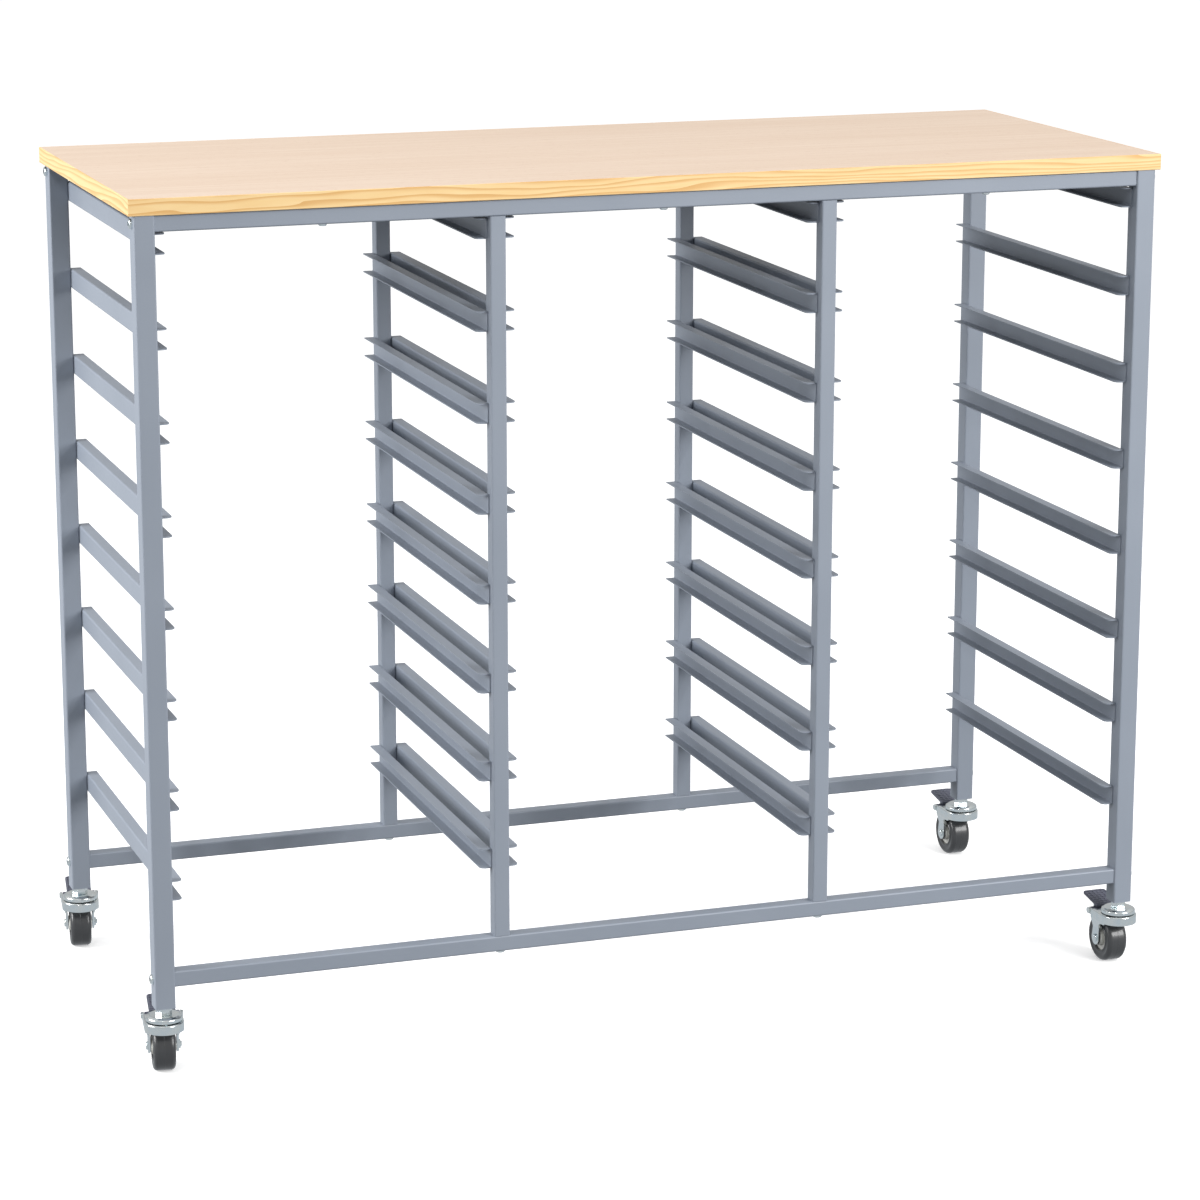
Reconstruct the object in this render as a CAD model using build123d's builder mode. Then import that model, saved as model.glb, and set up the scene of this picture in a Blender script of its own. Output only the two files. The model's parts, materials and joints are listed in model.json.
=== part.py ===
from build123d import *
import math
import os

# Mobile tray-storage trolley: a tubular steel frame with three bays of tray runners,
# a wood-look worktop and four braked swivel casters.
# Millimetres. +X runs along the trolley, +Y towards the back, +Z up.
# The origin is on the floor, straight below the middle of the frame.

# ---------------------------------------------------------------- overall sizes
frame_width = 1050.0  # over the corner legs
frame_depth = 424.0  # over the corner legs
leg_length = 775.0

# ---------------------------------------------------------------- steel tube
leg_size = 20.0
leg_wall = 1.2
post_size = 16.0  # intermediate posts
rail_size = 16.0  # long rails
tube_wall = 1.0  # posts and rails
tube_corner = 1.8  # outside corner radius of every tube
bottom_rail_rise = 21.0  # underside of the bottom rails above the legs' lower ends
bays = 3

# ---------------------------------------------------------------- tray runners
runner_height = 20.0
runner_flange = 12.0
runner_sheet = 1.2
runner_bend = 1.9  # outside bend radius
runner_nose = 6.0  # rounding of the flanges' front corners
runner_pitch = 90.0
top_runner_gap = 2.5  # between a top rail and the first runner
lowest_tray_room = 60.0  # kept free over the bottom rails for the lowest tray

# ---------------------------------------------------------------- worktop
board_thickness = 16.0
end_overhang = 5.0
long_overhang = 1.2  # at the front and the back
laminate = 0.6
edge_band = 0.8
band_arris = 0.4

# ---------------------------------------------------------------- fasteners
bolt_radius = 3.0
bolt_head_radius = 5.0
bolt_head_height = 3.0
hex_key = 4.0  # across the flats of the sockets
bolt_hold = 14.0  # length of bolt inside a tube insert
insert_length = 20.0
hole_clearance = 0.3  # round a bolt in a drilled wall
thread_clearance = 0.05  # round a screw in its threaded or driven hole
insert_clearance = 0.1  # between an insert and its tube
screw_radius = 2.0
screw_head_radius = 4.0
screw_head_height = 2.4
screw_bite = 11.0  # length of screw inside the worktop

# ---------------------------------------------------------------- casters
wheel_radius = 25.0
tread_width = 22.0
tread_shoulder = 4.5
hub_radius = 14.0
hub_boss_radius = 8.5
web_share = 0.36  # half thickness of the hub web over the tread width
hub_boss_gap = 0.7  # between the hub and each fork ear
axle_radius = 2.5
axle_head_radius = 4.2
axle_head_height = 2.0
axle_nut_across_flats = 8.0
axle_stub = 1.2  # end of the axle past its nut
trail = 21.0  # from the swivel axis back to the axle
running_clearance = 0.1  # radial, round every turning shaft
stem_radius = 4.0
stem_grip = 22.0  # length of stem inside the leg
rivet_radius = 6.5  # head that holds the fork on the stem
rivet_height = 2.0
rivet_gap = 0.3  # running gap along the swivel axis
nut_across_flats = 14.0
nut_height = 7.1
nut_gap = 0.5  # between the nut and the leg
cap_radius = 18.0
cap_height = 5.2
cap_flat_radius = 14.5
cap_wall_height = 3.6  # upright part of the rim
cap_sheet = 1.4
swivel_gap = 1.2  # between the cap's rim and the fork
ball_radius = 1.4
balls = 10
ball_ring_radius = 12.0
fork_sheet = 2.0
crown_radius = 19.5
crown_drop = 9.5  # height of the crown's rolled rim
wheel_headroom = 6.0  # between the crown plate and the tread
ear_gap = 26.0  # between the ears at the axle
ear_boss_radius = 7.5
ear_waist = 11.5  # above the axle, where the ears bend in to the wheel
ear_arch = 14.0  # radius of the arch over the wheel in each ear
ear_lip = 2.0  # sheet between the crown's rim and the top of the arch
ear_front = -2.5  # forward end of each ear, from the swivel axis
ear_rear = 23.0  # rear edge of each ear under the crown
crown_back = 20.0  # from the swivel axis to the crown's rear edge
pivot_back = 28.5  # pedal pivot behind the swivel axis
pivot_drop = 4.0  # pedal pivot below the crown's top
lug_radius = 3.5  # fork lugs round the pedal pivot
pivot_radius = 2.0
pin_head_radius = 3.2
pin_head_height = 1.2
pedal_width = 26.0
pedal_front = 23.0
pedal_tip = 57.0
pedal_sheet = 2.6
pedal_tip_sheet = 1.6
pedal_corner = 4.5
pedal_clearance = 6.0  # between the pedal's tip and the leg's lower end
pedal_rise = 5.0  # from the pedal's front edge up to its tip
pedal_web = 12.0  # width of the web under the plate
pedal_web_end = 44.0  # rear end of the web
pedal_cells = (5, 6)  # pockets of the waffle pattern, across and along
pedal_rib = 1.0  # width of the ribs between the pockets
pedal_rib_height = 0.6
shoe_gap = 4.0  # between the brake shoe and the tread when free
shoe_sheet = 2.0
shoe_width = 16.0
shoe_start = 42.0  # degrees round the wheel, up from straight back
shoe_end = 64.0
swivel_angle = {"left": -8.0, "right": 1.5}  # degrees, from trailing straight back

# ---------------------------------------------------------------- derived places
nut_bottom = nut_gap + nut_height  # depths below are measured down from the legs' ends
cap_bottom = nut_bottom + cap_height
crown_top = cap_bottom + swivel_gap
crown_underside = crown_top + fork_sheet
axle_drop = crown_underside + wheel_headroom + wheel_radius
leg_bottom = axle_drop + wheel_radius
leg_top = leg_bottom + leg_length
leg_x = frame_width / 2 - leg_size / 2
leg_y = frame_depth / 2 - leg_size / 2
rail_length = frame_width - 2 * leg_size
top_rail_z = leg_top - rail_size / 2
bottom_rail_z = leg_bottom + bottom_rail_rise + rail_size / 2
post_length = top_rail_z - bottom_rail_z - rail_size
post_bottom = bottom_rail_z + rail_size / 2
bay_width = (rail_length - (bays - 1) * post_size) / bays
post_x = [(i + 0.5 - (bays - 1) / 2) * (bay_width + post_size) for i in range(bays - 1)]
bay_x = [(i - (bays - 1) / 2) * (bay_width + post_size) for i in range(bays)]
top_runner_z = top_rail_z - rail_size / 2 - top_runner_gap - runner_height
runner_span = top_runner_z - post_bottom - lowest_tray_room
runner_levels = 1 + int(runner_span // runner_pitch)
runner_z = [top_runner_z - level * runner_pitch for level in range(runner_levels)]
runner_length = frame_depth - leg_size
pivot_z = -crown_top - pivot_drop
ends = {"left": -1, "right": 1}
sides = {"front": -1, "back": 1}

os.makedirs("parts", exist_ok=True)


def save(part, name):
    part.label = name
    export_step(part, f"parts/{name}.step")


def along_x(x, y, z):
    """A plane whose normal is +X; sketch x is +Y and sketch y is +Z."""
    return Plane(origin=(x, y, z), x_dir=(0, 1, 0), z_dir=(1, 0, 0))


def tube_outline(size, wall):
    """The ring section of a square tube, on the sketch in progress."""
    RectangleRounded(size, size, tube_corner)
    inside = size - 2 * wall
    RectangleRounded(inside, inside, tube_corner - wall / 2, mode=Mode.SUBTRACT)


# ================================================================ frame
def make_leg(name, x, y):
    """A corner leg with two cross holes for the bolts that hold the rails."""
    with BuildPart() as leg:
        with BuildSketch(Plane((x, y, leg_bottom))):
            tube_outline(leg_size, leg_wall)
        extrude(amount=leg_length)
        with BuildSketch(along_x(x, y, 0)):
            with Locations((0, top_rail_z), (0, bottom_rail_z)):
                Circle(bolt_radius + hole_clearance)
        extrude(amount=leg_size, both=True, mode=Mode.SUBTRACT)
    save(leg.part, name)


def make_post(name, x, y):
    with BuildPart() as post:
        with BuildSketch(Plane((x, y, post_bottom))):
            tube_outline(post_size, tube_wall)
        extrude(amount=post_length)
    save(post.part, name)


def make_rail(name, y, z, upper):
    """A long rail. Post bolts pass through a bottom rail; a top rail has access holes."""
    with BuildPart() as rail:
        with BuildSketch(along_x(-rail_length / 2, y, z)):
            tube_outline(rail_size, tube_wall)
        extrude(amount=rail_length)
        with BuildSketch(Plane((0, y, z))):
            with Locations(*[(x, 0) for x in post_x]):
                Circle(bolt_radius + hole_clearance)
        extrude(amount=rail_size, both=True, mode=Mode.SUBTRACT)
        if upper:
            with BuildSketch(Plane((0, y, z))):
                with Locations(*[(x, 0) for x in post_x]):
                    Circle(bolt_head_radius + hole_clearance)
            extrude(amount=rail_size, mode=Mode.SUBTRACT)
            with BuildSketch(Plane((0, y, z))):
                with Locations(*[(x, 0) for x in bay_x]):
                    Circle(screw_radius + hole_clearance)
            extrude(amount=rail_size, both=True, mode=Mode.SUBTRACT)
    save(rail.part, name)


for side, side_sign in sides.items():
    for end, end_sign in ends.items():
        make_leg(f"leg_{side}_{end}", end_sign * leg_x, side_sign * leg_y)
    for number, x in enumerate(post_x, start=1):
        make_post(f"post_{side}_{number}", x, side_sign * leg_y)
    make_rail(f"top_rail_{side}", side_sign * leg_y, top_rail_z, True)
    make_rail(f"bottom_rail_{side}", side_sign * leg_y, bottom_rail_z, False)


# ================================================================ tray runners
def make_runners(name, x, side):
    """One column of C-channels on the upright face at x, flanges towards side (+1 or -1)."""
    with BuildPart() as runners:
        for z in runner_z:
            front_end = Plane(
                origin=(x, -runner_length / 2, z), x_dir=(side, 0, 0), z_dir=(0, -side, 0)
            )
            with BuildSketch(front_end):
                with BuildLine():
                    FilletPolyline(
                        (runner_flange, 0),
                        (0, 0),
                        (0, runner_height),
                        (runner_flange, runner_height),
                        radius=runner_bend,
                    )
                    offset(amount=runner_sheet, side=Side.RIGHT)
                make_face()
            extrude(amount=-side * runner_length)
        flange_ends = runners.edges().filter_by(Axis.Z)
        flange_ends = flange_ends.filter_by(lambda e: abs(e.length - runner_sheet) < 0.01)
        fillet(flange_ends.group_by(Axis.Y)[0], radius=runner_nose)
    save(runners.part, name)


for number, x in enumerate(bay_x, start=1):
    make_runners(f"runners_bay_{number}_left", x - bay_width / 2, 1)
    make_runners(f"runners_bay_{number}_right", x + bay_width / 2, -1)

# ================================================================ worktop
board_length = frame_width + 2 * end_overhang
core_length = board_length - 2 * edge_band
board_depth = frame_depth + 2 * long_overhang
core_depth = board_depth - 2 * edge_band
core_bottom = leg_top + laminate
core_thickness = board_thickness - 2 * laminate
screw_places = [(x, y) for x in bay_x for y in (-leg_y, leg_y)]

with BuildPart() as backing:
    with BuildSketch(Plane.XY.offset(leg_top)):
        Rectangle(core_length, core_depth)
        with Locations(*screw_places):
            Circle(screw_radius + thread_clearance, mode=Mode.SUBTRACT)
    extrude(amount=laminate)
save(backing.part, "worktop_backing")

with BuildPart() as core:
    with BuildSketch(Plane.XY.offset(core_bottom)):
        Rectangle(core_length, core_depth)
    extrude(amount=core_thickness)
    with BuildSketch(Plane.XY.offset(core_bottom)):
        with Locations(*screw_places):
            Circle(screw_radius + thread_clearance)
    extrude(amount=screw_bite + thread_clearance, mode=Mode.SUBTRACT)
save(core.part, "worktop_core")

with BuildPart() as top_laminate:
    with BuildSketch(Plane.XY.offset(leg_top + board_thickness - laminate)):
        Rectangle(core_length, core_depth)
    extrude(amount=laminate)
save(top_laminate.part, "worktop_laminate")

with BuildPart() as long_bands:
    with BuildSketch(Plane.XY.offset(leg_top)):
        with Locations(*[(0, s * (board_depth - edge_band) / 2) for s in (-1, 1)]):
            Rectangle(board_length, edge_band)
    extrude(amount=board_thickness)
    outer_faces = [long_bands.faces().sort_by(Axis.Y)[0], long_bands.faces().sort_by(Axis.Y)[-1]]
    for outer_face in outer_faces:
        chamfer(outer_face.edges().filter_by(Axis.X), length=band_arris)
save(long_bands.part, "worktop_long_edges")

with BuildPart() as short_bands:
    with BuildSketch(Plane.XY.offset(leg_top)):
        with Locations(*[(s * (board_length - edge_band) / 2, 0) for s in (-1, 1)]):
            Rectangle(edge_band, core_depth)
    extrude(amount=board_thickness)
    outer_faces = [short_bands.faces().sort_by(Axis.X)[0], short_bands.faces().sort_by(Axis.X)[-1]]
    for outer_face in outer_faces:
        chamfer(outer_face.edges().filter_by(Axis.Y), length=band_arris)
save(short_bands.part, "worktop_short_edges")


# ================================================================ frame fasteners
def add_bolt(seat, shank, head_radius=bolt_head_radius, radius=bolt_radius, head=bolt_head_height):
    """A socket button-head screw: its head stands on the plane seat, its shank goes below it."""
    with BuildSketch(seat) as head_outline:
        Circle(head_radius)
    head_solid = extrude(head_outline.sketch, amount=head, mode=Mode.PRIVATE)
    crown_edge = head_solid.edges().sort_by(Axis(seat.origin, seat.z_dir))[-1]
    add(head_solid.fillet(head * 0.6, [crown_edge]))
    with BuildSketch(seat.offset(head)) as socket:
        RegularPolygon(hex_key / 2, 6, major_radius=False)
    extrude(socket.sketch, amount=-head * 0.6, mode=Mode.SUBTRACT)
    with BuildSketch(seat) as shank_outline:
        Circle(radius)
    extrude(shank_outline.sketch, amount=-shank)


with BuildPart() as rail_bolts:
    for side_sign in sides.values():
        for end_sign in ends.values():
            for z in (top_rail_z, bottom_rail_z):
                seat = Plane(
                    origin=(end_sign * frame_width / 2, side_sign * leg_y, z),
                    x_dir=(0, 1, 0),
                    z_dir=(end_sign, 0, 0),
                )
                add_bolt(seat, leg_size + bolt_hold)
save(rail_bolts.part, "rail_bolts")

with BuildPart() as post_bolts:
    for side_sign in sides.values():
        for x in post_x:
            under_rail = (x, side_sign * leg_y, bottom_rail_z - rail_size / 2)
            seat = Plane(origin=under_rail, x_dir=(1, 0, 0), z_dir=(0, 0, -1))
            add_bolt(seat, rail_size + bolt_hold)
            inside_rail = (x, side_sign * leg_y, top_rail_z - rail_size / 2 + tube_wall)
            add_bolt(Plane(inside_rail), tube_wall + bolt_hold)
save(post_bolts.part, "post_bolts")

with BuildPart() as worktop_screws:
    for x, y in screw_places:
        under_rail = (x, y, top_rail_z - rail_size / 2)
        seat = Plane(origin=under_rail, x_dir=(1, 0, 0), z_dir=(0, 0, -1))
        screw_length = rail_size + laminate + screw_bite
        add_bolt(seat, screw_length, screw_head_radius, screw_radius, screw_head_height)
save(worktop_screws.part, "worktop_screws")


def add_tube_insert(end_plane):
    """A threaded plug pressed into a 16 mm tube; end_plane's normal points into the tube."""
    size = rail_size - 2 * tube_wall - 2 * insert_clearance
    with BuildSketch(end_plane) as section:
        RectangleRounded(size, size, tube_corner)
        Circle(bolt_radius + thread_clearance, mode=Mode.SUBTRACT)
    extrude(section.sketch, amount=insert_length)


with BuildPart() as tube_inserts:
    for side_sign in sides.values():
        y = side_sign * leg_y
        for end_sign in ends.values():
            for z in (top_rail_z, bottom_rail_z):
                rail_end = (end_sign * rail_length / 2, y, z)
                add_tube_insert(Plane(origin=rail_end, x_dir=(0, 1, 0), z_dir=(-end_sign, 0, 0)))
        for x in post_x:
            add_tube_insert(Plane((x, y, post_bottom)))
            post_top = (x, y, post_bottom + post_length)
            add_tube_insert(Plane(origin=post_top, x_dir=(1, 0, 0), z_dir=(0, 0, -1)))
save(tube_inserts.part, "tube_inserts")

# ================================================================ caster parts fixed to the legs
leg_places = [(sx * leg_x, sy * leg_y) for sx in ends.values() for sy in sides.values()]

with BuildPart() as leg_inserts:
    insert_size = leg_size - 2 * leg_wall - 2 * insert_clearance
    with BuildSketch(Plane.XY.offset(leg_bottom)):
        with Locations(*leg_places):
            RectangleRounded(insert_size, insert_size, tube_corner)
            Circle(stem_radius + thread_clearance, mode=Mode.SUBTRACT)
    extrude(amount=stem_grip)
save(leg_inserts.part, "leg_inserts")

stem_bottom = leg_bottom - crown_underside - rivet_gap - rivet_height
with BuildPart() as stems:
    with BuildSketch(Plane.XY.offset(stem_bottom)):
        with Locations(*leg_places):
            Circle(rivet_radius)
    extrude(amount=rivet_height)
    fillet(stems.edges().group_by(Axis.Z)[0], radius=rivet_height * 0.4)
    with BuildSketch(Plane.XY.offset(stem_bottom)):
        with Locations(*leg_places):
            Circle(stem_radius)
    extrude(amount=leg_bottom + stem_grip - stem_bottom)
    chamfer(stems.edges().group_by(Axis.Z)[-1], length=stem_radius * 0.2)
save(stems.part, "caster_stems")

with BuildPart() as nuts:
    with BuildSketch(Plane.XY.offset(leg_bottom - nut_bottom)):
        with Locations(*leg_places):
            RegularPolygon(nut_across_flats / 2, 6, major_radius=False)
            Circle(stem_radius + thread_clearance, mode=Mode.SUBTRACT)
    extrude(amount=nut_height)
    flat_edges = nuts.edges().filter_by(GeomType.LINE).filter_by(Axis.Z, reverse=True)
    chamfer(flat_edges, length=nut_height * 0.08)
save(nuts.part, "stem_nuts")

with BuildPart() as caps:
    for x, y in leg_places:
        section = Plane(origin=(x, y, leg_bottom - cap_bottom), x_dir=(1, 0, 0), z_dir=(0, -1, 0))
        with BuildSketch(section):
            with BuildLine():
                inner = stem_radius + thread_clearance
                FilletPolyline(
                    (inner, cap_height),
                    (cap_flat_radius, cap_height),
                    (cap_radius, cap_wall_height),
                    (cap_radius, 0),
                    radius=cap_sheet * 1.4,
                )
                offset(amount=cap_sheet, side=Side.RIGHT)
            make_face()
        revolve(axis=Axis(section.origin, (0, 0, 1)))
save(caps.part, "swivel_caps")

ball_z = leg_bottom - crown_top + ball_radius + rivet_gap
with BuildPart() as ball_rings:
    with Locations(*[(x, y, ball_z) for x, y in leg_places]):
        with PolarLocations(ball_ring_radius, balls):
            Sphere(ball_radius)
save(ball_rings.part, "swivel_balls")


# ================================================================ caster forks, wheels and pedals
def side_view(base, across=0.0):
    """Sketch x runs back along the caster's trail, sketch y up; the normal points across it."""
    return Plane(origin=base.origin + base.x_dir * across, x_dir=base.y_dir, z_dir=base.x_dir)


def front_view(base):
    """Sketch x runs across the caster, sketch y up; the normal points forwards."""
    return Plane(origin=base.origin, x_dir=base.x_dir, z_dir=-base.y_dir)


def make_fork(name, base):
    """The pressed steel fork: a crown with a rolled rim, two ears and the pedal's lugs."""
    ear_inner = ear_gap / 2
    shoulder = -crown_top - crown_drop
    waist = -axle_drop + ear_waist
    skirt_radius = crown_radius - fork_sheet
    with BuildPart() as fork:
        # Both ears, seen from the front: upright under the crown, then bent in to the wheel.
        with BuildSketch(front_view(base)):
            for s in (-1, 1):
                with BuildLine():
                    Polyline(
                        (s * skirt_radius, pivot_z + lug_radius),
                        (s * crown_radius, pivot_z + lug_radius),
                        (s * crown_radius, shoulder),
                        (s * (ear_inner + fork_sheet), waist),
                        (s * (ear_inner + fork_sheet), -axle_drop - ear_boss_radius),
                        (s * ear_inner, -axle_drop - ear_boss_radius),
                        (s * ear_inner, waist),
                        (s * skirt_radius, shoulder),
                        close=True,
                    )
                make_face()
        extrude(amount=pedal_tip, both=True)
        # Their outline from the side, with the arch over the wheel.
        arch_y = trail - ear_boss_radius - ear_arch - thread_clearance
        arch_z = shoulder - ear_lip - ear_arch
        with BuildSketch(side_view(base)):
            with BuildLine():
                Polyline(
                    (0, -crown_underside),
                    (ear_rear, -crown_underside),
                    (trail + ear_boss_radius, -axle_drop),
                    (trail - ear_boss_radius, -axle_drop),
                    (arch_y + ear_arch, arch_z),
                    (ear_front, arch_z),
                    (ear_front, shoulder),
                    (0, shoulder),
                    close=True,
                )
            make_face()
            with Locations((arch_y, arch_z)):
                Circle(ear_arch, mode=Mode.SUBTRACT)
            with Locations((trail, -axle_drop)):
                Circle(ear_boss_radius)
            with Locations(((pivot_back + crown_back) / 2, pivot_z)):
                Rectangle(pivot_back - crown_back, 2 * lug_radius)
            with Locations((pivot_back, pivot_z)):
                Circle(lug_radius)
        extrude(amount=2 * crown_radius, both=True, mode=Mode.INTERSECT)
        # The crown is a D-shaped cup, round in front and open behind for the wheel.
        with BuildSketch(base.offset(shoulder)):
            Circle(crown_radius)
            with Locations((0, crown_back / 2)):
                Rectangle(2 * crown_radius, crown_back)
        extrude(amount=crown_drop)
        top_edges = fork.faces().sort_by(Axis.Z)[-1].edges()
        rear_edge = top_edges.sort_by(Axis(base.origin, base.y_dir))[-1]
        fillet(top_edges - ShapeList([rear_edge]), radius=fork_sheet * 0.9)
        with BuildSketch(base.offset(shoulder)):
            Circle(skirt_radius)
            with Locations((0, crown_back / 2)):
                Rectangle(2 * skirt_radius, crown_back)
        extrude(amount=crown_drop - fork_sheet, mode=Mode.SUBTRACT)
        with BuildSketch(base):
            Circle(stem_radius + running_clearance)
        extrude(amount=-axle_drop / 2, mode=Mode.SUBTRACT)
        with BuildSketch(side_view(base)):
            with Locations((trail, -axle_drop)):
                Circle(axle_radius + thread_clearance)
            with Locations((pivot_back, pivot_z)):
                Circle(pivot_radius + thread_clearance)
        extrude(amount=crown_radius * 2, both=True, mode=Mode.SUBTRACT)
    save(fork.part, name)


def make_axle(name, base):
    """The axle bolt with its round head on the left ear and its nut on the right one."""
    outside = ear_gap / 2 + fork_sheet
    with BuildPart() as axle:
        with BuildSketch(side_view(base, -outside)):
            with Locations((trail, -axle_drop)):
                Circle(axle_head_radius)
        extrude(amount=-axle_head_height)
        head_edges = axle.edges().filter_by(GeomType.CIRCLE).sort_by(Axis(base.origin, base.x_dir))
        fillet(head_edges[0], radius=axle_head_height * 0.5)
        with BuildSketch(side_view(base, -outside)):
            with Locations((trail, -axle_drop)):
                Circle(axle_radius)
        extrude(amount=2 * outside + axle_head_height + axle_stub)
        with BuildSketch(side_view(base, outside)):
            with Locations((trail, -axle_drop)):
                RegularPolygon(axle_nut_across_flats / 2, 6, major_radius=False)
                Circle(axle_radius + thread_clearance, mode=Mode.SUBTRACT)
        extrude(amount=axle_head_height)
    save(axle.part, name)


def make_pedal_pin(name, base):
    with BuildPart() as pin:
        for s in (-1, 1):
            with BuildSketch(side_view(base, s * crown_radius)):
                with Locations((pivot_back, pivot_z)):
                    Circle(pin_head_radius)
            extrude(amount=s * pin_head_height)
        with BuildSketch(side_view(base)):
            with Locations((pivot_back, pivot_z)):
                Circle(pivot_radius)
        extrude(amount=crown_radius, both=True)
    save(pin.part, name)


def wheel_section(base):
    """Sketch x runs across the wheel, sketch y out from the axle's centre line."""
    centre = base.origin + base.y_dir * trail - base.z_dir * axle_drop
    return Plane(origin=centre, x_dir=base.x_dir, z_dir=-base.y_dir)


def make_tyre(name, base):
    section = wheel_section(base)
    with BuildPart() as tyre:
        with BuildSketch(section):
            depth = wheel_radius - hub_radius
            with Locations((0, hub_radius + depth / 2)):
                Rectangle(tread_width, depth)
            outer_corners = vertices().group_by(Axis.Y)[-1]
            fillet(outer_corners, radius=min(tread_shoulder, depth * 0.9))
        revolve(axis=Axis(section.origin, section.x_dir))
    save(tyre.part, name)


def make_hub(name, base):
    """The hard wheel centre: a web inside the tyre and a boss that runs on the axle."""
    section = wheel_section(base)
    rim = hub_radius - thread_clearance
    boss_half = ear_gap / 2 - hub_boss_gap
    web_half = tread_width * web_share
    bore = axle_radius + running_clearance
    with BuildPart() as hub:
        with BuildSketch(section):
            with BuildLine():
                Polyline(
                    (-boss_half, bore),
                    (boss_half, bore),
                    (boss_half, hub_boss_radius - 1),
                    (boss_half - 1, hub_boss_radius),
                    (web_half, hub_boss_radius),
                    (web_half, rim),
                    (-web_half, rim),
                    (-web_half, hub_boss_radius),
                    (1 - boss_half, hub_boss_radius),
                    (-boss_half, hub_boss_radius - 1),
                    close=True,
                )
            make_face()
        revolve(axis=Axis(section.origin, section.x_dir))
    save(hub.part, name)


def on_wheel(radius, degrees):
    """A point in the side view, at a radius from the axle and an angle up from straight back."""
    angle = math.radians(degrees)
    return trail + radius * math.cos(angle), -axle_drop + radius * math.sin(angle)


shoe_radius = wheel_radius + shoe_gap
shoe_middle = (shoe_start + shoe_end) / 2
shoe_arm_y, shoe_arm_foot = on_wheel(shoe_radius + shoe_sheet / 2, shoe_middle)
pedal_grade = pedal_rise / (pedal_tip - pedal_front)
shoe_arm_top = -pedal_clearance - (pedal_tip - shoe_arm_y) * pedal_grade - pedal_tip_sheet


def make_pedal(name, base):
    """The foot pedal: a waffle-topped plate, a web under it and a barrel on the pivot pin."""
    tip_z = -pedal_clearance
    front_z = tip_z - pedal_rise
    plate_length = math.hypot(pedal_rise, pedal_tip - pedal_front)
    barrel_half = crown_radius - fork_sheet - 2 * rivet_gap
    web_end_z = tip_z - (pedal_tip - pedal_web_end) * pedal_grade - pedal_tip_sheet / 2
    plate_side = side_view(base)
    with BuildPart() as pedal:
        with BuildSketch(plate_side):
            with BuildLine():
                Polyline(
                    (pedal_front, front_z),
                    (pedal_tip, tip_z),
                    (pedal_tip, tip_z - pedal_tip_sheet),
                    (pedal_front, front_z - pedal_sheet),
                    close=True,
                )
            make_face()
        extrude(amount=pedal_width / 2, both=True)
        tip_edges = pedal.edges().filter_by(lambda e: abs(e.length - pedal_tip_sheet) < 0.01)
        fillet(tip_edges, radius=pedal_corner)
        with BuildSketch(plate_side):
            with BuildLine():
                Polyline(
                    (pedal_front, front_z - pedal_sheet / 2),
                    (pedal_web_end, web_end_z),
                    (pivot_back + lug_radius, pivot_z),
                    (pivot_back - lug_radius, pivot_z),
                    close=True,
                )
            make_face()
        extrude(amount=pedal_web / 2, both=True)
        with BuildSketch(plate_side):
            with Locations((pivot_back, pivot_z)):
                Circle(lug_radius)
        extrude(amount=barrel_half, both=True)
        with BuildSketch(plate_side):
            with Locations((pivot_back, pivot_z)):
                Circle(pivot_radius + running_clearance)
        extrude(amount=crown_radius, both=True, mode=Mode.SUBTRACT)
        # The waffle pattern that stands up from the plate.
        middle = base.origin + base.y_dir * (pedal_front + pedal_tip) / 2
        middle = middle + base.z_dir * (front_z + tip_z) / 2
        up = base.z_dir - base.y_dir * pedal_grade
        field = (pedal_width - 2 * pedal_rib, plate_length - pedal_corner)
        pitch = [(size - pedal_rib) / count for size, count in zip(field, pedal_cells)]
        with BuildSketch(Plane(origin=middle, x_dir=base.x_dir, z_dir=up)):
            Rectangle(*field)
            with GridLocations(*pitch, *pedal_cells):
                Rectangle(pitch[0] - pedal_rib, pitch[1] - pedal_rib, mode=Mode.SUBTRACT)
        extrude(amount=pedal_rib_height)
        # The slot that holds the brake shoe's arm.
        slot_top = shoe_arm_top + thread_clearance
        with BuildSketch(plate_side):
            with Locations((shoe_arm_y, (slot_top + pivot_z) / 2)):
                Rectangle(shoe_sheet + 2 * thread_clearance, slot_top - pivot_z)
        extrude(amount=shoe_width / 2 + thread_clearance, both=True, mode=Mode.SUBTRACT)
    save(pedal.part, name)


def make_brake_shoe(name, base):
    """A steel plate set into the pedal, with a curved foot that presses on the tread."""
    outer_radius = shoe_radius + shoe_sheet
    outer_start = on_wheel(outer_radius, shoe_start)
    outer_end = on_wheel(outer_radius, shoe_end)
    inner_start = on_wheel(shoe_radius, shoe_start)
    inner_end = on_wheel(shoe_radius, shoe_end)
    with BuildPart() as shoe:
        with BuildSketch(side_view(base)):
            with BuildLine():
                ThreePointArc(outer_start, on_wheel(outer_radius, shoe_middle), outer_end)
                Line(outer_end, inner_end)
                ThreePointArc(inner_end, on_wheel(shoe_radius, shoe_middle), inner_start)
                Line(inner_start, outer_start)
            make_face()
            with Locations((shoe_arm_y, (shoe_arm_foot + shoe_arm_top) / 2)):
                Rectangle(shoe_sheet, shoe_arm_top - shoe_arm_foot)
        extrude(amount=shoe_width / 2, both=True)
    save(shoe.part, name)


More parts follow.
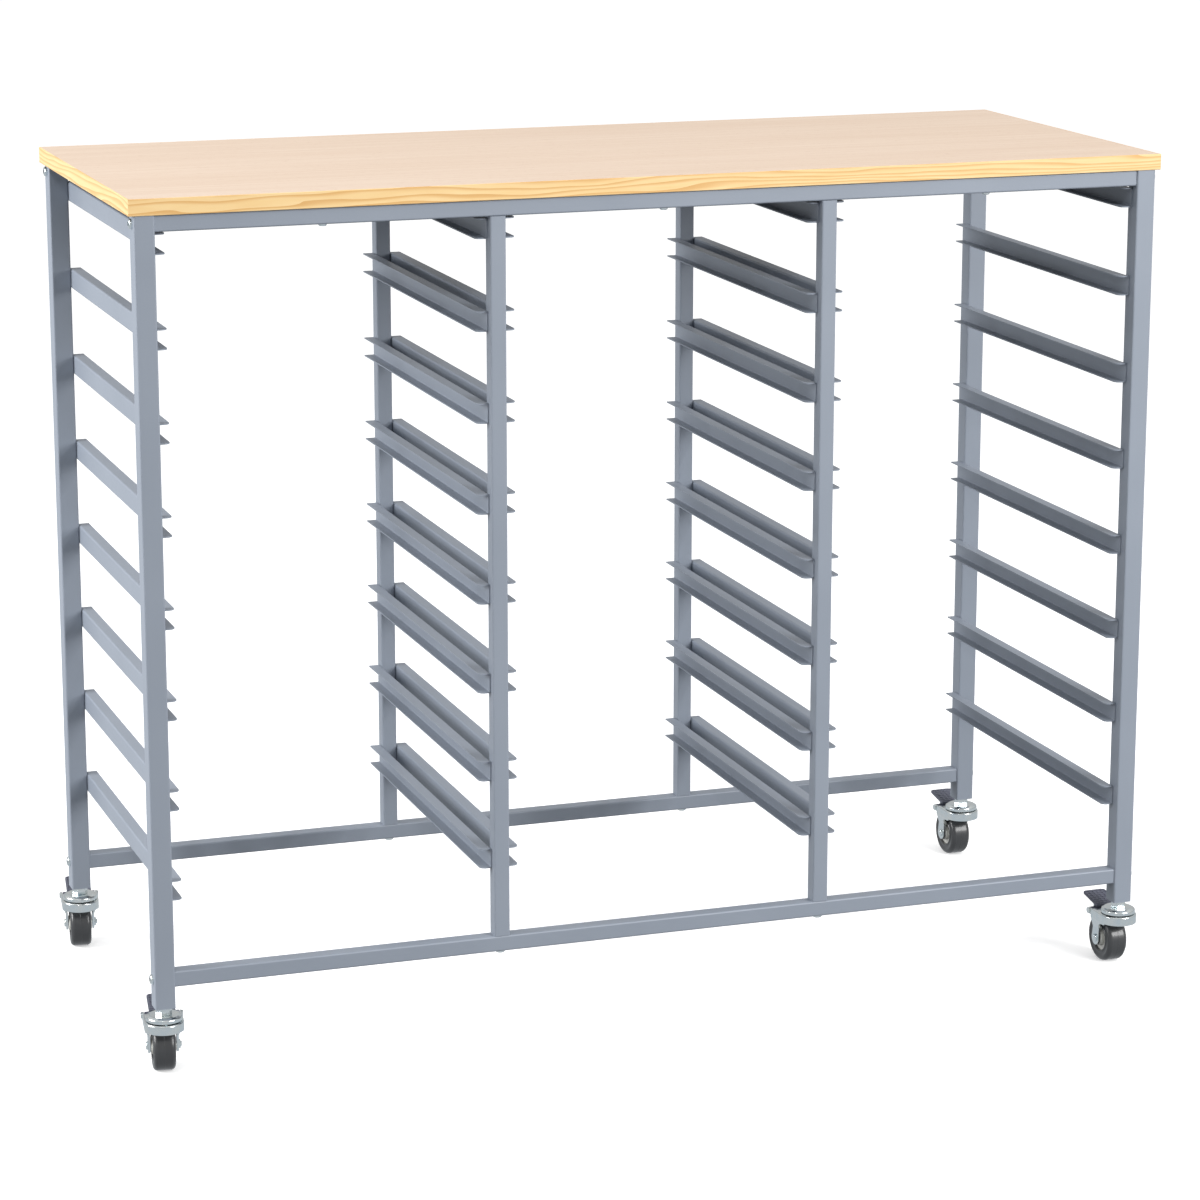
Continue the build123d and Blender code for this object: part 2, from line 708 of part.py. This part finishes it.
for side, side_sign in sides.items():
    for end, end_sign in ends.items():
        swivel = math.radians(swivel_angle[end])
        caster = Plane(
            origin=(end_sign * leg_x, side_sign * leg_y, leg_bottom),
            x_dir=(math.cos(swivel), math.sin(swivel), 0),
            z_dir=(0, 0, 1),
        )
        corner = f"{side}_{end}"
        make_fork(f"fork_{corner}", caster)
        make_axle(f"axle_{corner}", caster)
        make_pedal_pin(f"pedal_pin_{corner}", caster)
        make_tyre(f"tyre_{corner}", caster)
        make_hub(f"hub_{corner}", caster)
        make_pedal(f"pedal_{corner}", caster)
        make_brake_shoe(f"brake_shoe_{corner}", caster)
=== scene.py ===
# %% [markdown]
# # A three-bay tray trolley
#
# The real object is a welded and bolted steel frame, powder coated grey-blue, with a
# wood-look worktop on top and four small braked casters underneath. This notebook puts its
# looks on the CAD frame: finishes for every part, modelled details where the real
# part has more shape than the CAD solid, then floor, light and camera.

# %% Load the frame
import json
import math

import bmesh
import bpy
from mathutils import Matrix, Vector


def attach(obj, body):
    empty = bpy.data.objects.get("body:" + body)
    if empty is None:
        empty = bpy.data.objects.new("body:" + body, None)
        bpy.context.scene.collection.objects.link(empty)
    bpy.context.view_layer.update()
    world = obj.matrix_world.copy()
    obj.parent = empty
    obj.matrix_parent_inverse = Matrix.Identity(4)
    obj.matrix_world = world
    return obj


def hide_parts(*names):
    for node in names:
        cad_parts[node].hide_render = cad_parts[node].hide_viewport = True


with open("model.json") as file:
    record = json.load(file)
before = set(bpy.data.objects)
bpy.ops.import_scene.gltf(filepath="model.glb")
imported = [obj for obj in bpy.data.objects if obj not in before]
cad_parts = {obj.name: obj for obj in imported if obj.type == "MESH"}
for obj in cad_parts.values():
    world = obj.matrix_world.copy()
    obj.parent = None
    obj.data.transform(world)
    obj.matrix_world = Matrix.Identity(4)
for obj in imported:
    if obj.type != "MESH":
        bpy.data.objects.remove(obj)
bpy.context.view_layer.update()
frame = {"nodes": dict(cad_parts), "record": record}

record = frame["record"]

# %% [markdown]
# ## Helpers for finishes
#
# A finish is a small graph of shader nodes. Colours are written as the sRGB hex values that
# a paint shop would give, and one function turns them to the linear values that the renderer
# needs. Pattern sizes are written in millimetres.

# %% Colours, pattern sizes and nodes
MM = 0.001


def srgb(hex_colour):
    """The linear colour of an sRGB hex value such as "#8f97a3"."""
    channels = [int(hex_colour[i : i + 2], 16) / 255 for i in (1, 3, 5)]
    return (*[c / 12.92 if c <= 0.04045 else ((c + 0.055) / 1.055) ** 2.4 for c in channels], 1)


def every(millimetres):
    """The texture scale that repeats a pattern at about this spacing."""
    return 1 / (millimetres * MM)


def add(tree, kind, sockets, **settings):
    """Adds one node. A socket is given a value, or another node's output to link."""
    made = tree.nodes.new("ShaderNode" + kind)
    for name, value in settings.items():
        setattr(made, name, value)
    for socket, value in sockets.items():
        if isinstance(value, bpy.types.NodeSocket):
            tree.links.new(value, made.inputs[socket])
        else:
            made.inputs[socket].default_value = value
    return made


def start_finish(name):
    """A new material with its surface shader: gives material, node tree, shader, coordinates."""
    material = bpy.data.materials.new(name)
    material.use_nodes = True
    tree = material.node_tree
    tree.nodes.clear()
    surface = add(tree, "BsdfPrincipled", {})
    add(tree, "OutputMaterial", {"Surface": surface.outputs["BSDF"]})
    return material, tree, surface, add(tree, "TexCoord", {}).outputs["Object"]


FACTOR, COLOUR_A, COLOUR_B, COLOUR_OUT = 0, 6, 7, 2  # sockets of a Mix node that blends colours

# %% [markdown]
# ## Powder coat
#
# The frame's steel is powder coated: sprayed polyester powder, baked until it flows into a
# tough satin skin. The eye sees one grey-blue that is a little cloudy over a hand's width, a fine
# orange-peel ripple in the highlights, and a soft gloss. The ripple is really about
# 1 mm across; it is drawn at 3 mm so that it still shows from across a room.


# %% Powder coat
def powder_coated_steel():
    material, tree, surface, place = start_finish("powder_coated_steel")
    cloud = add(tree, "TexNoise", {"Vector": place, "Scale": every(110), "Detail": 3.0})
    tone = add(
        tree,
        "Mix",
        {FACTOR: cloud.outputs["Fac"], COLOUR_A: srgb("#8b939f"), COLOUR_B: srgb("#979fab")},
        data_type="RGBA",
    )
    peel = add(tree, "TexNoise", {"Vector": place, "Scale": every(3), "Detail": 2.0})
    ripple = add(tree, "Bump", {"Height": peel.outputs["Fac"], "Distance": 0.05 * MM})
    gloss = add(
        tree,
        "MapRange",
        {"Value": peel.outputs["Fac"], "To Min": 0.34, "To Max": 0.46},
    )
    tree.links.new(tone.outputs[COLOUR_OUT], surface.inputs["Base Color"])
    tree.links.new(gloss.outputs["Result"], surface.inputs["Roughness"])
    tree.links.new(ripple.outputs["Normal"], surface.inputs["Normal"])
    return material


# %% [markdown]
# ## Beech-look laminate
#
# The worktop's face is a printed decor paper under clear melamine: pale beech, with long soft
# bands along the board, finer streaks, and the short brown flecks that mark
# beech. Noise stretched along X makes all three; only its stretch and spacing change.


# %% Beech laminate
def beech_laminate():
    material, tree, surface, place = start_finish("beech_decor_laminate")
    bands = add(tree, "Mapping", {"Vector": place, "Scale": (1 / 14, 1, 1)})
    band = add(tree, "TexNoise", {"Vector": bands.outputs[0], "Scale": every(34), "Detail": 3.0})
    lines = add(tree, "Mapping", {"Vector": place, "Scale": (1 / 60, 1, 1)})
    line = add(tree, "TexNoise", {"Vector": lines.outputs[0], "Scale": every(3.2), "Detail": 3.0})
    dashes = add(tree, "Mapping", {"Vector": place, "Scale": (1 / 7, 1, 1)})
    dash = add(tree, "TexNoise", {"Vector": dashes.outputs[0], "Scale": every(1.1)})
    fleck = add(
        tree,
        "MapRange",
        {"Value": dash.outputs["Fac"], "From Min": 0.63, "From Max": 0.72, "To Max": 0.35},
    )
    wood = add(
        tree,
        "Mix",
        {FACTOR: band.outputs["Fac"], COLOUR_A: srgb("#e0c9b4"), COLOUR_B: srgb("#ecd9c7")},
        data_type="RGBA",
    )
    streak = add(
        tree,
        "MapRange",
        {"Value": line.outputs["Fac"], "From Min": 0.35, "From Max": 0.7, "To Max": 0.45},
    )
    streaked = add(
        tree,
        "Mix",
        {
            FACTOR: streak.outputs[0],
            COLOUR_A: wood.outputs[COLOUR_OUT],
            COLOUR_B: srgb("#d9bea6"),
        },
        data_type="RGBA",
    )
    flecked = add(
        tree,
        "Mix",
        {
            FACTOR: fleck.outputs[0],
            COLOUR_A: streaked.outputs[COLOUR_OUT],
            COLOUR_B: srgb("#b58f6e"),
        },
        data_type="RGBA",
    )
    pores = add(tree, "Bump", {"Height": line.outputs["Fac"], "Distance": 0.02 * MM})
    tree.links.new(flecked.outputs[COLOUR_OUT], surface.inputs["Base Color"])
    tree.links.new(pores.outputs["Normal"], surface.inputs["Normal"])
    surface.inputs["Roughness"].default_value = 0.62
    surface.inputs["Specular IOR Level"].default_value = 0.22
    return material


# %% [markdown]
# ## Pine-look edge band
#
# The board's narrow edges carry a warm yellow strip with flat-sawn pine grain: brown growth
# lines that run along the edge and drift across it. Each line is one ring of the tree. The
# rings are counted up the edge every 5 mm, and a slow noise, stretched along the edge, shifts
# the count, so that the lines wander, part and close into long pointed arches.


# %% Pine edge
def pine_edge(name, along):
    """The lacquered pine strip; along is the axis that the grain follows."""
    material, tree, surface, place = start_finish(name)
    stretch = (1 / 9, 1, 1) if along == "X" else (1, 1 / 9, 1)
    strip = add(tree, "Mapping", {"Vector": place, "Scale": stretch}).outputs[0]
    drift = add(tree, "TexNoise", {"Vector": strip, "Scale": every(26), "Detail": 2.0})
    shift = add(tree, "Math", {0: drift.outputs["Fac"], 1: 6.0}, operation="MULTIPLY")
    height = add(tree, "SeparateXYZ", {"Vector": place}).outputs["Z"]
    count = add(
        tree,
        "Math",
        {0: height, 1: every(5), 2: shift.outputs[0]},
        operation="MULTIPLY_ADD",
    )
    ring = add(tree, "Math", {0: count.outputs[0]}, operation="FRACT")
    growth = add(
        tree,
        "MapRange",
        {"Value": ring.outputs[0], "From Min": 0.35, "From Max": 1.0, "To Max": 0.85},
        interpolation_type="SMOOTHSTEP",
    )
    early = add(tree, "TexNoise", {"Vector": strip, "Scale": every(5), "Detail": 3.0})
    ground = add(
        tree,
        "Mix",
        {FACTOR: early.outputs["Fac"], COLOUR_A: srgb("#f0c684"), COLOUR_B: srgb("#fadda6")},
        data_type="RGBA",
    )
    grain = add(
        tree,
        "Mix",
        {
            FACTOR: growth.outputs[0],
            COLOUR_A: ground.outputs[COLOUR_OUT],
            COLOUR_B: srgb("#dca862"),
        },
        data_type="RGBA",
    )
    tree.links.new(grain.outputs[COLOUR_OUT], surface.inputs["Base Color"])
    surface.inputs["Roughness"].default_value = 0.38
    return material


# %% [markdown]
# ## Chipboard and backing
#
# Between its faces the board is chipboard: pressed wood flakes a few millimetres across. It
# is all but covered. The underside is a plain balancing paper, pale and matt.


# %% Chipboard and backing
def chipboard():
    material, tree, surface, place = start_finish("pressed_chipboard")
    flake = add(tree, "TexVoronoi", {"Vector": place, "Scale": every(3.5)})
    chips = add(
        tree,
        "Mix",
        {FACTOR: flake.outputs["Color"], COLOUR_A: srgb("#b58f63"), COLOUR_B: srgb("#dcbf92")},
        data_type="RGBA",
    )
    rough = add(tree, "Bump", {"Height": flake.outputs["Distance"], "Distance": 0.3 * MM})
    tree.links.new(chips.outputs[COLOUR_OUT], surface.inputs["Base Color"])
    tree.links.new(rough.outputs["Normal"], surface.inputs["Normal"])
    surface.inputs["Roughness"].default_value = 0.85
    return material


def backing_paper():
    material, tree, surface, place = start_finish("melamine_backing_paper")
    fibre = add(tree, "TexNoise", {"Vector": place, "Scale": every(6), "Detail": 5.0})
    paper = add(
        tree,
        "Mix",
        {FACTOR: fibre.outputs["Fac"], COLOUR_A: srgb("#d9cdbd"), COLOUR_B: srgb("#e4dacb")},
        data_type="RGBA",
    )
    tree.links.new(paper.outputs[COLOUR_OUT], surface.inputs["Base Color"])
    surface.inputs["Roughness"].default_value = 0.6
    return material


# %% [markdown]
# ## Zinc plate and bearing steel
#
# Casters and screws are steel with a bright chromate zinc plate: a cool mirror that is slightly
# soft, with faint bluish and straw-coloured patches and small differences in polish from
# the tumbling drum. The swivel balls are plain polished steel.


# %% Zinc plate and bearing steel
def bright_zinc_plate():
    material, tree, surface, place = start_finish("bright_zinc_plate")
    patch = add(tree, "TexNoise", {"Vector": place, "Scale": every(9), "Detail": 2.0})
    tint = add(
        tree,
        "Mix",
        {FACTOR: patch.outputs["Fac"], COLOUR_A: srgb("#ccdbe4"), COLOUR_B: srgb("#e8e8e2")},
        data_type="RGBA",
    )
    polish = add(
        tree,
        "MapRange",
        {"Value": patch.outputs["Fac"], "To Min": 0.1, "To Max": 0.26},
    )
    dents = add(tree, "TexNoise", {"Vector": place, "Scale": every(4), "Detail": 1.0})
    ripple = add(tree, "Bump", {"Height": dents.outputs["Fac"], "Distance": 0.12 * MM})
    tree.links.new(tint.outputs[COLOUR_OUT], surface.inputs["Base Color"])
    tree.links.new(polish.outputs["Result"], surface.inputs["Roughness"])
    tree.links.new(ripple.outputs["Normal"], surface.inputs["Normal"])
    surface.inputs["Metallic"].default_value = 1.0
    return material


def polished_steel():
    material, tree, surface, place = start_finish("polished_bearing_steel")
    oil = add(tree, "TexNoise", {"Vector": place, "Scale": every(3)})
    film = add(
        tree,
        "Mix",
        {FACTOR: oil.outputs["Fac"], COLOUR_A: srgb("#a8a49a"), COLOUR_B: srgb("#c2c0ba")},
        data_type="RGBA",
    )
    tree.links.new(film.outputs[COLOUR_OUT], surface.inputs["Base Color"])
    surface.inputs["Metallic"].default_value = 1.0
    surface.inputs["Roughness"].default_value = 0.12
    return material


# %% [markdown]
# ## Rubber and plastics
#
# The tyres are dark grey thermoplastic rubber with a thin glossy skin from the mould. The wheel
# centres are white nylon, a little waxy. The pedals are grey moulded polypropylene with a
# fine spark-eroded texture, and the hidden tube plugs are black nylon.


# %% Rubber and plastics
def moulded(name, dark, light, patch_mm, grain_mm, depth_mm, roughness):
    """A moulded rubber or plastic: two close tones, a fine skin texture and its gloss."""
    material, tree, surface, place = start_finish(name)
    patch = add(tree, "TexNoise", {"Vector": place, "Scale": every(patch_mm), "Detail": 3.0})
    tone = add(
        tree,
        "Mix",
        {FACTOR: patch.outputs["Fac"], COLOUR_A: srgb(dark), COLOUR_B: srgb(light)},
        data_type="RGBA",
    )
    grain = add(tree, "TexNoise", {"Vector": place, "Scale": every(grain_mm), "Detail": 2.0})
    skin = add(tree, "Bump", {"Height": grain.outputs["Fac"], "Distance": depth_mm * MM})
    tree.links.new(tone.outputs[COLOUR_OUT], surface.inputs["Base Color"])
    tree.links.new(skin.outputs["Normal"], surface.inputs["Normal"])
    surface.inputs["Roughness"].default_value = roughness
    return material


# %% Give every part its finish
finishes = {
    "powder_coat": powder_coated_steel(),
    "beech_laminate": beech_laminate(),
    "pine_edge": pine_edge("pine_edge_along_the_front", "X"),
    "chipboard": chipboard(),
    "backing_paper": backing_paper(),
    "zinc_plate": bright_zinc_plate(),
    "bearing_steel": polished_steel(),
    "grey_tyre": moulded("grey_rubber_tyre", "#343537", "#434446", 14, 1.2, 0.05, 0.34),
    "white_nylon": moulded("white_nylon_centre", "#dcdcd6", "#ebebe6", 10, 1.5, 0.03, 0.42),
    "grey_plastic": moulded("grey_polypropylene_pedal", "#575a68", "#696c7a", 8, 0.9, 0.06, 0.5),
    "black_nylon": moulded("black_nylon_plug", "#161617", "#232325", 10, 1.0, 0.05, 0.55),
}
for part in frame["nodes"].values():
    for material_slot in part.material_slots:
        material_slot.material = finishes[material_slot.material.name]
end_band = frame["nodes"]["worktop_short_edges"]
end_band.material_slots[0].material = pine_edge("pine_edge_across_the_ends", "Y")
mould_skin = finishes["grey_tyre"].node_tree.nodes["Principled BSDF"]
mould_skin.inputs["Coat Weight"].default_value = 0.3
mould_skin.inputs["Coat Roughness"].default_value = 0.08
print("finishes:", len(bpy.data.materials), "parts:", len(frame["nodes"]))

# %% [markdown]
# ## Tyres
#
# The CAD tyre is a plain ring. The real one is moulded in a two-part tool, so it has a fine
# parting line round the middle of its tread and a small step where the tread meets each
# shoulder. Its sides dip between the shoulder and the raised bead that grips the wheel
# centre. Each tyre is one outline turned about its axle, and it rolls with its wheel.

# %% Tyres
joints = {joint["name"]: joint for joint in record["behaviour"]["joints"]}
corners = [f"{side}_{end}" for side in ("front", "back") for end in ("left", "right")]
half_width, bead_radius = 11.0, 14.0  # of the tyre, in millimetres as all sizes in this cell
side_dip, bead_edge = 0.6, 0.2  # how far the side sinks, and the bead's step at its bore
bead_from, bead_to, bead_foot = 0.6, 1.6, 2.4  # the bead's flat and its foot, out from its bore
shoulder, shoulder_foot = 4.5, 1.2  # the shoulder's radius, and the slope that leads up to it
tread_step, parting_line = 0.15, 0.3
turns, sharp_from = 96, math.radians(32)  # steps round each tyre, and what counts as an edge


def tyre_outline(radius):
    """The closed section in millimetres, as (across, out from the axle)."""
    dip = half_width - side_dip
    right = [
        (dip + bead_edge, bead_radius),
        (half_width, bead_radius + bead_from),
        (half_width, bead_radius + bead_to),
        (dip, bead_radius + bead_foot),
        (dip, radius - shoulder - shoulder_foot),
    ]
    for degrees in range(0, 91, 10):
        turn = math.radians(degrees)
        across = half_width - shoulder + shoulder * math.cos(turn)
        right.append((across, radius - shoulder + shoulder * math.sin(turn)))
    right.append((half_width - shoulder - tread_step, radius - tread_step))
    right.append((parting_line + tread_step, radius - tread_step))
    right.append((parting_line, radius))
    return right + [(-across, out) for across, out in reversed(right)]


def turned(name, outline, place):
    """A ring turned about the X axis of place from a closed outline, with sharp edges kept."""
    made = bmesh.new()
    ring = [made.verts.new((across * MM, 0, out * MM)) for across, out in outline]
    for start, end in zip(ring, ring[1:] + ring[:1]):
        made.edges.new((start, end))
    bmesh.ops.spin(
        made,
        geom=made.verts[:] + made.edges[:],
        cent=(0, 0, 0),
        axis=(1, 0, 0),
        angle=math.tau,
        steps=turns,
        use_merge=True,
    )
    bmesh.ops.recalc_face_normals(made, faces=made.faces)
    mesh = bpy.data.meshes.new(name)
    made.to_mesh(mesh)
    made.free()
    mesh.transform(place)
    mesh.shade_smooth()
    mesh.set_sharp_from_angle(angle=sharp_from)
    piece = bpy.data.objects.new(name, mesh)
    bpy.context.scene.collection.objects.link(piece)
    return piece


for corner in corners:
    axle = joints["wheel_spin_" + corner]
    turn = math.atan2(axle["axis"][1], axle["axis"][0])
    place = Matrix.Translation(axle["pos_m"]) @ Matrix.Rotation(turn, 4, "Z")
    tyre = turned("moulded_tyre_" + corner, tyre_outline(axle["pos_m"][2] / MM), place)
    tyre.data.materials.append(finishes["grey_tyre"])
    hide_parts("tyre_" + corner)
    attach(tyre, "wheel_" + corner)
print("tyres:", len(corners), "with", len(tyre.data.polygons), "faces each")

# %% [markdown]
# ## Floor, light and camera
#
# The trolley stands on a seamless white floor, bright enough to vanish into the backdrop and
# leave only a soft shadow at the wheels. Only the camera sees the floor: it lights nothing and
# shows in no reflection. Most light comes from above, like a pale ceiling, and little from
# below, so undersides and gaps go dark, but reflections find a pale room below as well, which
# keeps the zinc silver. A soft box on the right lights the front, one on the left lights
# the end faces, and two small lamps high in front put glints on the zinc and the tyres.

# %% Floor
floor_size, floor_glow = 60, 0.38  # metres across, and its own light
bpy.ops.mesh.primitive_plane_add(size=floor_size)
floor = bpy.context.object
floor.name = "floor"
floor_paint, floor_tree, floor_surface, floor_place = start_finish("white_floor_paint")
floor_mottle = add(floor_tree, "TexNoise", {"Vector": floor_place, "Scale": 0.7})
floor_tone = add(
    floor_tree,
    "Mix",
    {FACTOR: floor_mottle.outputs["Fac"], COLOUR_A: srgb("#f6f6f6"), COLOUR_B: srgb("#fafafa")},
    data_type="RGBA",
)
floor_tree.links.new(floor_tone.outputs[COLOUR_OUT], floor_surface.inputs["Base Color"])
floor_surface.inputs["Roughness"].default_value = 0.9
floor_surface.inputs["Emission Color"].default_value = srgb("#ffffff")
floor_surface.inputs["Emission Strength"].default_value = floor_glow
floor.visible_diffuse = False
floor.visible_glossy = False
floor.data.materials.append(floor_paint)

# %% Light from above
horizon_glow, zenith_glow, backdrop_glow = 0.45, 0.8, 1.05
ground_glow, ground_reflected = 0.1, 0.68  # what lights the undersides, and what a mirror finds
tent = bpy.data.worlds.new("white_tent")
tent.use_nodes = True
sky = tent.node_tree
sky.nodes.clear()
facing = add(sky, "TexCoord", {}).outputs["Generated"]
up = add(sky, "SeparateXYZ", {"Vector": facing}).outputs["Z"]
ceiling = add(sky, "MapRange", {"Value": up, "To Min": horizon_glow, "To Max": zenith_glow})
above = add(sky, "MapRange", {"Value": up, "From Min": -0.06, "From Max": 0.04}).outputs["Result"]
rays = add(sky, "LightPath", {})
mirrored = rays.outputs["Is Glossy Ray"]
below = add(
    sky,
    "MapRange",
    {"Value": mirrored, "To Min": ground_glow, "To Max": ground_reflected},
)
lit = add(
    sky,
    "MapRange",
    {"Value": above, "To Min": below.outputs["Result"], "To Max": ceiling.outputs["Result"]},
)
tint = add(
    sky,
    "Mix",
    {FACTOR: above, COLOUR_A: srgb("#eef3f8"), COLOUR_B: srgb("#ffffff")},
    data_type="RGBA",
)
strength = add(
    sky,
    "MapRange",
    {
        "Value": rays.outputs["Is Camera Ray"],
        "To Min": lit.outputs["Result"],
        "To Max": backdrop_glow,
    },
)
glow = add(
    sky,
    "Background",
    {"Color": tint.outputs[COLOUR_OUT], "Strength": strength.outputs["Result"]},
)
add(sky, "OutputWorld", {"Surface": glow.outputs[0]})
bpy.context.scene.world = tent
bpy.context.scene.view_settings.view_transform = "Standard"


# %% Soft boxes and glint lamps
def add_light(name, place, aim, size, watts):
    """A square soft light at a place, turned to face a point."""
    data = bpy.data.lights.new(name, "AREA")
    data.size = size
    data.energy = watts
    light = bpy.data.objects.new(name, data)
    light.location = place
    light.rotation_euler = (Vector(aim) - Vector(place)).to_track_quat("-Z", "Y").to_euler()
    bpy.context.scene.collection.objects.link(light)


middle = (0, 0, 0.45)
box_size, lamp_size = 1.8, 0.12  # metres
add_light("soft_box_left", (-3.5, 0.3, 1.6), middle, box_size, 130)
add_light("soft_box_right", (2.0, -3.2, 1.8), middle, box_size, 115)
add_light("glint_left", (-2.2, -3.2, 3.2), middle, lamp_size, 18)
add_light("glint_right", (1.6, -3.4, 3.2), middle, lamp_size, 18)

# %% Camera
eye = Vector((-1.2762, -3.7166, 1.3412))
heading = math.radians(19.01)  # from straight ahead, towards +X
downward = math.radians(13.57)
camera_data = bpy.data.cameras.new("camera")
camera_data.lens = 116.03
camera_data.sensor_width = 36
camera = bpy.data.objects.new("camera", camera_data)
camera.location = eye
camera.rotation_euler = (math.pi / 2 - downward, 0, -heading)
bpy.context.scene.collection.objects.link(camera)
bpy.context.scene.camera = camera
